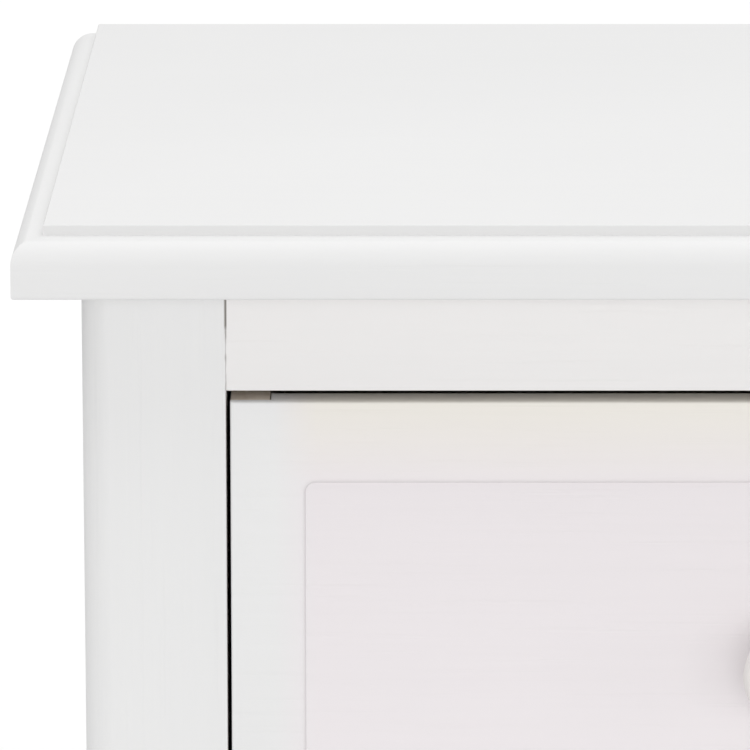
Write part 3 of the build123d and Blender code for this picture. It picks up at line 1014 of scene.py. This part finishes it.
def makeDrawers():
    # each part is made once, for the lower left drawer, and copied to the other five
    for part, label, maker, slot, material in drawerParts:
        firstNode = "lower_left_drawer_" + part
        first = maker(firstNode, "lowerLeft" + label)
        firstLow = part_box(firstNode)[0]
        copies = []
        for row in rowNames:
            for column in columnNames:
                node = row + "_" + column + "_drawer_" + part
                piece = first
                if node != firstNode:
                    piece = copyTo(first, row + column.capitalize() + label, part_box(node)[0] - firstLow)
                copies.append((piece, row + "_" + column + "_drawer", node))
        for piece, body, node in copies:
            fit(piece, body, slot, material, node)
        print("drawer part made:", label)


makeDrawers()


glideSizes = {
    "sides": 48,
    "radius": 10 * mm,
    "edge": 1.1 * mm,
    "well": 4.2 * mm,
    "wellDepth": 0.9 * mm,
    "tackSides": 32,
    "tackRadius": 3.4 * mm,
    "tackHeight": 0.7 * mm,
    "tackRound": 0.56 * mm,
}


def makeGlides():
    size = glideSizes
    low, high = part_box("foot_glides")
    radius = size["radius"]
    glide = addDisc("glideFrontLeft", size["sides"], radius, high.z - low.z,
                    (low.x + radius, low.y + radius, (low.z + high.z) / 2))
    openMesh(glide)
    pick(glide, "EDGE", lambda e: edgeAt(e, 2, low.z))
    bpy.ops.mesh.bevel(offset=size["edge"], segments=5, profile=0.5, affect="EDGES")
    pick(glide, "FACE", lambda f: f.normal.z < -0.99)
    bpy.ops.mesh.inset(thickness=radius - size["edge"] - size["well"])
    bpy.ops.mesh.extrude_region_move(TRANSFORM_OT_translate={"value": (0, 0, size["wellDepth"])})
    closeMesh()
    smooth(glide, 35)
    tackFoot = low.z + size["wellDepth"] - size["tackHeight"]
    tack = addDisc("tackFrontLeft", size["tackSides"], size["tackRadius"], size["tackHeight"],
                   (low.x + radius, low.y + radius, tackFoot + size["tackHeight"] / 2))
    openMesh(tack)
    pick(tack, "EDGE", lambda e: edgeAt(e, 2, tackFoot))
    bpy.ops.mesh.bevel(offset=size["tackRound"], segments=4, profile=0.5, affect="EDGES")
    closeMesh()
    smooth(tack, 35)
    across = high.x - low.x - 2 * radius
    deep = high.y - low.y - 2 * radius
    for place, offset in (("FrontLeft", (0, 0, 0)), ("FrontRight", (across, 0, 0)),
                          ("RearLeft", (0, deep, 0)), ("RearRight", (across, deep, 0))):
        foot = glide if place == "FrontLeft" else copyTo(glide, "glide" + place, offset)
        pin = tack if place == "FrontLeft" else copyTo(tack, "tack" + place, offset)
        fit(foot, "carcass", "nylon", nylon, "foot_glides")
        fit(pin, "carcass", "zinc_steel", zinc)


makeGlides()

# the top's own screws keep their shape and take the zinc
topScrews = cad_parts["top_screws"]
topScrews.data.materials.clear()
topScrews.data.materials.append(zinc)
print("glides and screws made")


# the camera stands to the left of the middle and looks slightly down at the top's front left corner
viewSizes = {
    "fromTopLeft": 99.3 * mm,
    "beforeTop": 1578.4 * mm,
    "aboveUnderside": 339.8 * mm,
    "tilt": 77.13,
    "lens": 284.4,
    "sensor": 36.0,
    "nearest": 0.05,
    "farthest": 100.0,
}


def makeCamera():
    size = viewSizes
    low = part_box("top_board")[0]
    data = bpy.data.cameras.new("camera")
    data.lens = size["lens"]
    data.sensor_width = size["sensor"]
    data.clip_start = size["nearest"]
    data.clip_end = size["farthest"]
    camera = bpy.data.objects.new("camera", data)
    bpy.context.scene.collection.objects.link(camera)
    camera.location = (low.x + size["fromTopLeft"], low.y - size["beforeTop"],
                       low.z + size["aboveUnderside"])
    camera.rotation_euler = (math.radians(size["tilt"]), 0, 0)
    bpy.context.scene.camera = camera


makeCamera()


studioSizes = {
    "floor": 60.0,
    # the floor's own color as the camera sees it, and as it lights the cabinet
    "floorSeen": (0.99, 0.99, 0.99, 1),
    "floorLight": (0.69, 0.69, 0.69, 1),
    "floorMottle": (0.8, 0.8, 0.8, 1),
    "floorRough": 0.9,
    "sky": 0.55,
    "skyColor": (1.0, 1.0, 1.0, 1),
    # each sun: azimuth from the front, elevation, strength and spread
    "suns": [(-95, 42, 0.06, 50), (0, 6, 0.262, 26), (25, 6, 0.085, 26), (60, 6, 0.035, 22),
             (180, 78, 0.412, 80)],
}


def makeFloor():
    size = studioSizes
    bpy.ops.object.select_all(action="DESELECT")
    bpy.ops.mesh.primitive_plane_add(size=size["floor"], location=(0, 0, 0))
    floor = bpy.context.object
    floor.name = "floor"
    material, tree, shader, vector, place = startMaterial("paleFloor", "x")
    mottle = noise(tree, vector, 1.5, 3.0, 0.5)
    path = tree.nodes.new("ShaderNodeLightPath")
    shade = tinted(tree, path.outputs["Is Camera Ray"], size["floorLight"], size["floorSeen"])
    shade = tinted(tree, remap(tree, mottle, 0.4, 0.6, 0.0, 0.01), shade, size["floorMottle"])
    tree.links.new(shade, shader.inputs["Base Color"])
    shader.inputs["Roughness"].default_value = size["floorRough"]
    shader.inputs["Specular IOR Level"].default_value = 0.0
    floor.data.materials.append(material)


def makeLights():
    size = studioSizes
    world = bpy.data.worlds.new("studio")
    bpy.context.scene.world = world
    world.use_nodes = True
    tree = world.node_tree
    tree.nodes.clear()
    output = tree.nodes.new("ShaderNodeOutputWorld")
    lit = addNode(tree, "ShaderNodeBackground", None, {"Color": size["skyColor"], "Strength": size["sky"]})
    seen = addNode(tree, "ShaderNodeBackground", None, {"Color": size["skyColor"], "Strength": 1.0})
    path = tree.nodes.new("ShaderNodeLightPath")
    either = tree.nodes.new("ShaderNodeMixShader")
    tree.links.new(path.outputs["Is Camera Ray"], either.inputs[0])
    tree.links.new(lit.outputs[0], either.inputs[1])
    tree.links.new(seen.outputs[0], either.inputs[2])
    tree.links.new(either.outputs[0], output.inputs[0])
    for azimuth, elevation, level, spread in size["suns"]:
        data = bpy.data.lights.new("sun", "SUN")
        data.energy = level * math.pi
        data.angle = math.radians(spread)
        sun = bpy.data.objects.new("sun", data)
        bpy.context.scene.collection.objects.link(sun)
        turn, rise = math.radians(azimuth), math.radians(elevation)
        toward = Vector((math.sin(turn) * math.cos(rise), -math.cos(turn) * math.cos(rise), math.sin(rise)))
        sun.rotation_euler = toward.to_track_quat("Z", "Y").to_euler()


makeFloor()
makeLights()
bpy.context.scene.view_settings.view_transform = "Standard"
bpy.context.scene.view_settings.look = "None"
print("camera, floor and lights made")
